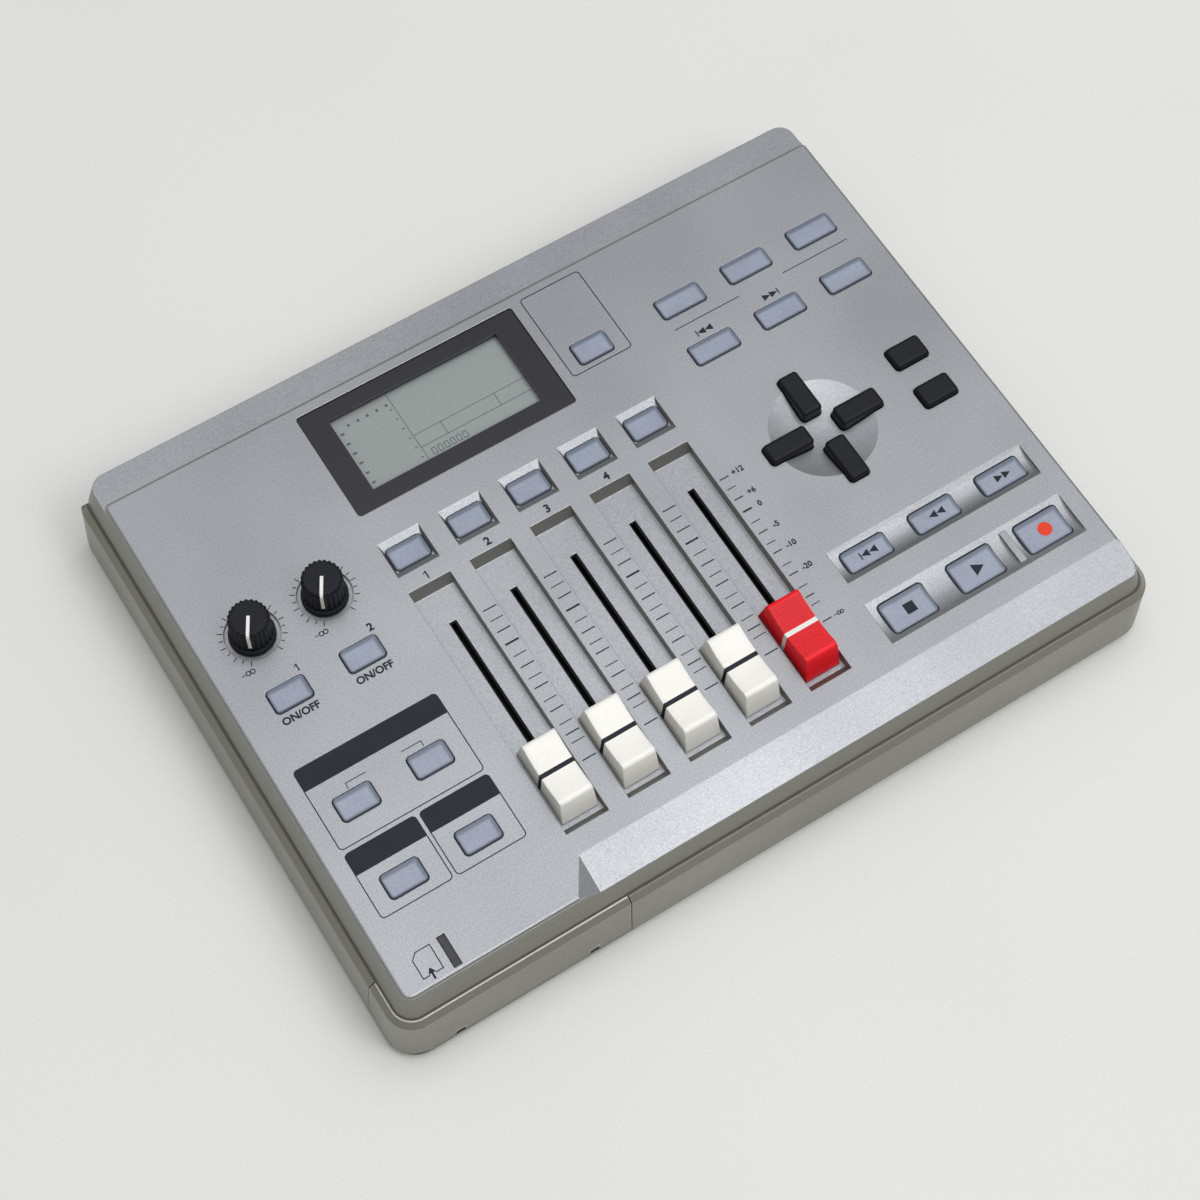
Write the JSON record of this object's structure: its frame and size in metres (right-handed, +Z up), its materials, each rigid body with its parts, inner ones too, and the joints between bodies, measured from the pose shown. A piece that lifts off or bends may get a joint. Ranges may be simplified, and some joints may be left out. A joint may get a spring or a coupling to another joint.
{
  "type": "digital multitrack recorder",
  "caption": "Tabletop multitrack recorder: a low silver case with channel faders, level knobs, cursor and transport keys, a dark display window and a card door at the front corner.",
  "frame": {"origin": "bottom centre of the footprint, on the table under the feet", "axes": "+X to the right when facing the faders, +Y to the rear with the sockets, +Z up"},
  "size_m": [0.257, 0.19, 0.047],
  "materials": {
    "silver_case": "satin silver paint",
    "grey_case": "satin grey paint",
    "key_plastic": "smoky translucent",
    "black_plastic": "satin",
    "white_cap": "satin",
    "red_cap": "satin",
    "dark_window": "clear gloss",
    "display": "grey-green display",
    "board": "solder mask",
    "steel": "plated",
    "rubber": "matt"
  },
  "bodies": {
    "case": {"upper_case": "silver_case", "lower_case": "grey_case", "rear_panel": "grey_case", "panel_lenses": "dark_window", "lcd_module": "display", "main_board": "board", "key_switches": "black_plastic", "fader_tracks": "steel", "pot_bodies": "steel", "rear_sockets": "black_plastic", "card_socket": "steel", "feet": "rubber", "case_screws": "steel"},
    "input_key_1_body": {"input_key_1": "key_plastic"},
    "input_key_2_body": {"input_key_2": "key_plastic"},
    "effect_key_1_body": {"effect_key_1": "key_plastic"},
    "effect_key_2_body": {"effect_key_2": "key_plastic"},
    "metronome_key_body": {"metronome_key": "key_plastic"},
    "bounce_key_body": {"bounce_key": "key_plastic"},
    "parameter_key_body": {"parameter_key": "key_plastic"},
    "enter_key_body": {"enter_key": "black_plastic"},
    "exit_key_body": {"exit_key": "black_plastic"},
    "song_key_body": {"song_key": "key_plastic"},
    "punch_key_body": {"punch_key": "key_plastic"},
    "repeat_key_body": {"repeat_key": "key_plastic"},
    "marker_back_key_body": {"marker_back_key": "key_plastic"},
    "marker_next_key_body": {"marker_next_key": "key_plastic"},
    "marker_set_key_body": {"marker_set_key": "key_plastic"},
    "track_key_1_body": {"track_key_1": "key_plastic"},
    "track_key_2_body": {"track_key_2": "key_plastic"},
    "track_key_3_body": {"track_key_3": "key_plastic"},
    "track_key_4_body": {"track_key_4": "key_plastic"},
    "master_key_body": {"master_key": "key_plastic"},
    "zero_key_body": {"zero_key": "key_plastic"},
    "rewind_key_body": {"rewind_key": "key_plastic"},
    "forward_key_body": {"forward_key": "key_plastic"},
    "stop_key_body": {"stop_key": "key_plastic"},
    "play_key_body": {"play_key": "key_plastic"},
    "record_key_body": {"record_key": "key_plastic"},
    "cursor_up_key_body": {"cursor_up_key": "black_plastic"},
    "cursor_down_key_body": {"cursor_down_key": "black_plastic"},
    "cursor_left_key_body": {"cursor_left_key": "black_plastic"},
    "cursor_right_key_body": {"cursor_right_key": "black_plastic"},
    "fader_1": {"fader_cap_1": "white_cap", "fader_lever_1": "steel"},
    "fader_2": {"fader_cap_2": "white_cap", "fader_lever_2": "steel"},
    "fader_3": {"fader_cap_3": "white_cap", "fader_lever_3": "steel"},
    "fader_4": {"fader_cap_4": "white_cap", "fader_lever_4": "steel"},
    "master_fader": {"fader_cap_5": "red_cap", "fader_lever_5": "steel"},
    "level_1": {"level_knob_1": "black_plastic", "pot_shaft_1": "steel"},
    "level_2": {"level_knob_2": "black_plastic", "pot_shaft_2": "steel"},
    "door": {"card_door": "grey_case"},
    "power_switch": {"power_slider": "black_plastic"},
    "battery_lid": {"battery_cover": "grey_case"}
  },
  "joints": [
    {"name": "input_key_1_press", "type": "slide", "parent": "case", "child": "input_key_1_body", "axis": [0, 0, -1], "range_m": [0, 0.0008], "stiffness_N_per_m": 600},
    {"name": "input_key_2_press", "type": "slide", "parent": "case", "child": "input_key_2_body", "axis": [0, 0, -1], "range_m": [0, 0.0008], "stiffness_N_per_m": 600},
    {"name": "effect_key_1_press", "type": "slide", "parent": "case", "child": "effect_key_1_body", "axis": [0, 0, -1], "range_m": [0, 0.0008], "stiffness_N_per_m": 600},
    {"name": "effect_key_2_press", "type": "slide", "parent": "case", "child": "effect_key_2_body", "axis": [0, 0, -1], "range_m": [0, 0.0008], "stiffness_N_per_m": 600},
    {"name": "metronome_key_press", "type": "slide", "parent": "case", "child": "metronome_key_body", "axis": [0, 0, -1], "range_m": [0, 0.0008], "stiffness_N_per_m": 600},
    {"name": "bounce_key_press", "type": "slide", "parent": "case", "child": "bounce_key_body", "axis": [0, 0, -1], "range_m": [0, 0.0008], "stiffness_N_per_m": 600},
    {"name": "parameter_key_press", "type": "slide", "parent": "case", "child": "parameter_key_body", "axis": [0, 0, -1], "range_m": [0, 0.0008], "stiffness_N_per_m": 600},
    {"name": "enter_key_press", "type": "slide", "parent": "case", "child": "enter_key_body", "axis": [0, 0, -1], "range_m": [0, 0.0008], "stiffness_N_per_m": 600},
    {"name": "exit_key_press", "type": "slide", "parent": "case", "child": "exit_key_body", "axis": [0, 0, -1], "range_m": [0, 0.0008], "stiffness_N_per_m": 600},
    {"name": "song_key_press", "type": "slide", "parent": "case", "child": "song_key_body", "axis": [0, 0, -1], "range_m": [0, 0.0008], "stiffness_N_per_m": 600},
    {"name": "punch_key_press", "type": "slide", "parent": "case", "child": "punch_key_body", "axis": [0, 0, -1], "range_m": [0, 0.0008], "stiffness_N_per_m": 600},
    {"name": "repeat_key_press", "type": "slide", "parent": "case", "child": "repeat_key_body", "axis": [0, 0, -1], "range_m": [0, 0.0008], "stiffness_N_per_m": 600},
    {"name": "marker_back_key_press", "type": "slide", "parent": "case", "child": "marker_back_key_body", "axis": [0, 0, -1], "range_m": [0, 0.0008], "stiffness_N_per_m": 600},
    {"name": "marker_next_key_press", "type": "slide", "parent": "case", "child": "marker_next_key_body", "axis": [0, 0, -1], "range_m": [0, 0.0008], "stiffness_N_per_m": 600},
    {"name": "marker_set_key_press", "type": "slide", "parent": "case", "child": "marker_set_key_body", "axis": [0, 0, -1], "range_m": [0, 0.0008], "stiffness_N_per_m": 600},
    {"name": "track_key_1_press", "type": "slide", "parent": "case", "child": "track_key_1_body", "axis": [0, 0, -1], "range_m": [0, 0.0008], "stiffness_N_per_m": 600},
    {"name": "track_key_2_press", "type": "slide", "parent": "case", "child": "track_key_2_body", "axis": [0, 0, -1], "range_m": [0, 0.0008], "stiffness_N_per_m": 600},
    {"name": "track_key_3_press", "type": "slide", "parent": "case", "child": "track_key_3_body", "axis": [0, 0, -1], "range_m": [0, 0.0008], "stiffness_N_per_m": 600},
    {"name": "track_key_4_press", "type": "slide", "parent": "case", "child": "track_key_4_body", "axis": [0, 0, -1], "range_m": [0, 0.0008], "stiffness_N_per_m": 600},
    {"name": "master_key_press", "type": "slide", "parent": "case", "child": "master_key_body", "axis": [0, 0, -1], "range_m": [0, 0.0008], "stiffness_N_per_m": 600},
    {"name": "zero_key_press", "type": "slide", "parent": "case", "child": "zero_key_body", "axis": [0, 0, -1], "range_m": [0, 0.0008], "stiffness_N_per_m": 600},
    {"name": "rewind_key_press", "type": "slide", "parent": "case", "child": "rewind_key_body", "axis": [0, 0, -1], "range_m": [0, 0.0008], "stiffness_N_per_m": 600},
    {"name": "forward_key_press", "type": "slide", "parent": "case", "child": "forward_key_body", "axis": [0, 0, -1], "range_m": [0, 0.0008], "stiffness_N_per_m": 600},
    {"name": "stop_key_press", "type": "slide", "parent": "case", "child": "stop_key_body", "axis": [0, 0, -1], "range_m": [0, 0.0008], "stiffness_N_per_m": 600},
    {"name": "play_key_press", "type": "slide", "parent": "case", "child": "play_key_body", "axis": [0, 0, -1], "range_m": [0, 0.0008], "stiffness_N_per_m": 600},
    {"name": "record_key_press", "type": "slide", "parent": "case", "child": "record_key_body", "axis": [0, 0, -1], "range_m": [0, 0.0008], "stiffness_N_per_m": 600},
    {"name": "cursor_up_key_press", "type": "slide", "parent": "case", "child": "cursor_up_key_body", "axis": [0, 0, -1], "range_m": [0, 0.0008], "stiffness_N_per_m": 600},
    {"name": "cursor_down_key_press", "type": "slide", "parent": "case", "child": "cursor_down_key_body", "axis": [0, 0, -1], "range_m": [0, 0.0008], "stiffness_N_per_m": 600},
    {"name": "cursor_left_key_press", "type": "slide", "parent": "case", "child": "cursor_left_key_body", "axis": [0, 0, -1], "range_m": [0, 0.0008], "stiffness_N_per_m": 600},
    {"name": "cursor_right_key_press", "type": "slide", "parent": "case", "child": "cursor_right_key_body", "axis": [0, 0, -1], "range_m": [0, 0.0008], "stiffness_N_per_m": 600},
    {"name": "fader_1_slide", "type": "slide", "parent": "case", "child": "fader_1", "axis": [0, 1, 0], "range_m": [0, 0.053]},
    {"name": "fader_2_slide", "type": "slide", "parent": "case", "child": "fader_2", "axis": [0, 1, 0], "range_m": [0, 0.053]},
    {"name": "fader_3_slide", "type": "slide", "parent": "case", "child": "fader_3", "axis": [0, 1, 0], "range_m": [0, 0.053]},
    {"name": "fader_4_slide", "type": "slide", "parent": "case", "child": "fader_4", "axis": [0, 1, 0], "range_m": [0, 0.053]},
    {"name": "master_fader_slide", "type": "slide", "parent": "case", "child": "master_fader", "axis": [0, 1, 0], "range_m": [0, 0.053]},
    {"name": "level_1_turn", "type": "hinge", "parent": "case", "child": "level_1", "pos_m": [-0.1049, 0.0263, 0.036], "axis": [0, 0, -1], "range_deg": [0, 300]},
    {"name": "level_2_turn", "type": "hinge", "parent": "case", "child": "level_2", "pos_m": [-0.0816, 0.0263, 0.036], "axis": [0, 0, -1], "range_deg": [0, 300]},
    {"name": "card_door_swing", "type": "hinge", "parent": "case", "child": "door", "pos_m": [-0.0882, -0.09351, 0.0067], "axis": [1, 0, 0], "range_deg": [0, 80]},
    {"name": "power_switch_slide", "type": "slide", "parent": "case", "child": "power_switch", "axis": [1, 0, 0], "range_m": [0, 0.003]},
    {"name": "battery_cover_slide", "type": "slide", "parent": "case", "child": "battery_lid", "axis": [0, 1, 0], "range_m": [0, 0.004]}
  ]
}
